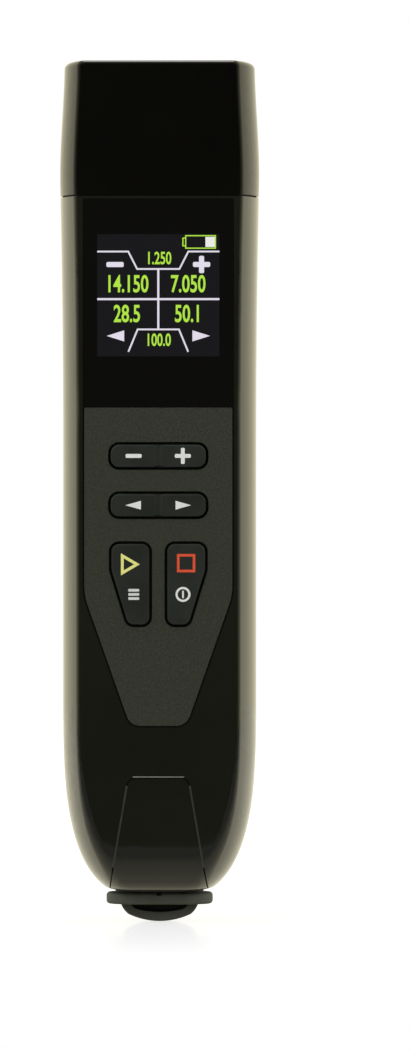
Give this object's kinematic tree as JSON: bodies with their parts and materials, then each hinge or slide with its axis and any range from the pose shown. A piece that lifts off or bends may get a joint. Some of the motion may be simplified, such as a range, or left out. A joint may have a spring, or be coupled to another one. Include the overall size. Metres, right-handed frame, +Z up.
{
  "type": "antenna analyzer",
  "caption": "Handheld stick antenna analyzer with a display, rocker and press keys, a pull-off cap over its coaxial jack, and a rubber dust plug.",
  "frame": {"origin": "centre of the bounding box at its lowest point, under the pull tab of the dust plug", "axes": "+Z up the stick towards the connector cap, +X to the right of someone who faces the display, +Y away from the display"},
  "size_m": [0.0418, 0.0316, 0.1799],
  "materials": {
    "shell_gloss": "polished moulded black",
    "insert_gloss": "polished moulded black",
    "cap_gloss": "polished moulded black",
    "collar_plastic": "fine matt black",
    "seal_rubber": "matt black",
    "lens_black": "polished black acrylic",
    "display_panel": "lit panel",
    "white_plastic": "white",
    "panel_matte": "spark-grained grey",
    "key_plastic": "satin dark grey",
    "mat_rubber": "matt grey",
    "board_laminate": "green lacquer",
    "shield_tin": "tinned",
    "chip_epoxy": "matt black",
    "screw_steel": "zinc plated",
    "jack_gold": "gold plated",
    "nut_plated": "nickel plated",
    "ptfe_white": "white",
    "coax_jacket": "brown jacket",
    "cell_sleeve": "blue sleeve",
    "plug_rubber": "matt black"
  },
  "bodies": {
    "casing": {"front_shell": "shell_gloss", "rear_cover": "shell_gloss", "tail_insert": "insert_gloss", "collar": "collar_plastic", "cap_seal": "seal_rubber", "display_lens": "lens_black", "lens_gasket": "seal_rubber", "display_glass": "display_panel", "display_backlight": "white_plastic", "keypad_panel": "panel_matte", "keypad_mat": "mat_rubber", "minus_plus_domes": "mat_rubber", "left_right_domes": "mat_rubber", "start_dome": "mat_rubber", "stop_dome": "mat_rubber", "main_board": "board_laminate", "rf_shield": "shield_tin", "processor": "chip_epoxy", "board_screws": "screw_steel", "case_screws": "screw_steel", "rf_jack": "jack_gold", "rf_insulator": "ptfe_white", "rf_contact": "jack_gold", "jack_washer": "screw_steel", "jack_nut": "nut_plated", "coax_lead": "coax_jacket", "battery_cell": "cell_sleeve", "battery_cradle": "collar_plastic", "battery_clips": "nut_plated", "usb_socket": "shield_tin", "usb_tongue": "chip_epoxy", "usb_board": "board_laminate", "usb_screws": "screw_steel"},
    "cap": {"connector_cap": "cap_gloss"},
    "minus_plus": {"minus_plus_key": "key_plastic"},
    "left_right": {"left_right_key": "key_plastic"},
    "start": {"start_key": "key_plastic"},
    "stop": {"stop_key": "key_plastic"},
    "plug": {"dust_plug": "plug_rubber"}
  },
  "joints": [
    {"name": "cap_slide", "type": "slide", "parent": "casing", "child": "cap", "axis": [0, 0, 1], "range_m": [0, 0.045]},
    {"name": "minus_plus_rock", "type": "hinge", "parent": "casing", "child": "minus_plus", "pos_m": [0, -0.0112, 0.09753], "axis": [0, 0, 1], "range_deg": [-4, 4], "stiffness_Nm_per_rad": 0.02, "deforming": ["minus_plus_domes"]},
    {"name": "left_right_rock", "type": "hinge", "parent": "casing", "child": "left_right", "pos_m": [0, -0.0112, 0.08728], "axis": [0, 0, 1], "range_deg": [-4, 4], "stiffness_Nm_per_rad": 0.02, "deforming": ["left_right_domes"]},
    {"name": "start_press", "type": "slide", "parent": "casing", "child": "start", "axis": [0, 1, 0], "range_m": [0, 0.0008], "stiffness_N_per_m": 400, "deforming": ["start_dome"]},
    {"name": "stop_press", "type": "slide", "parent": "casing", "child": "stop", "axis": [0, 1, 0], "range_m": [0, 0.0008], "stiffness_N_per_m": 400, "deforming": ["stop_dome"]},
    {"name": "plug_pull", "type": "slide", "parent": "casing", "child": "plug", "axis": [0, 0, -1], "range_m": [0, 0.02]}
  ]
}
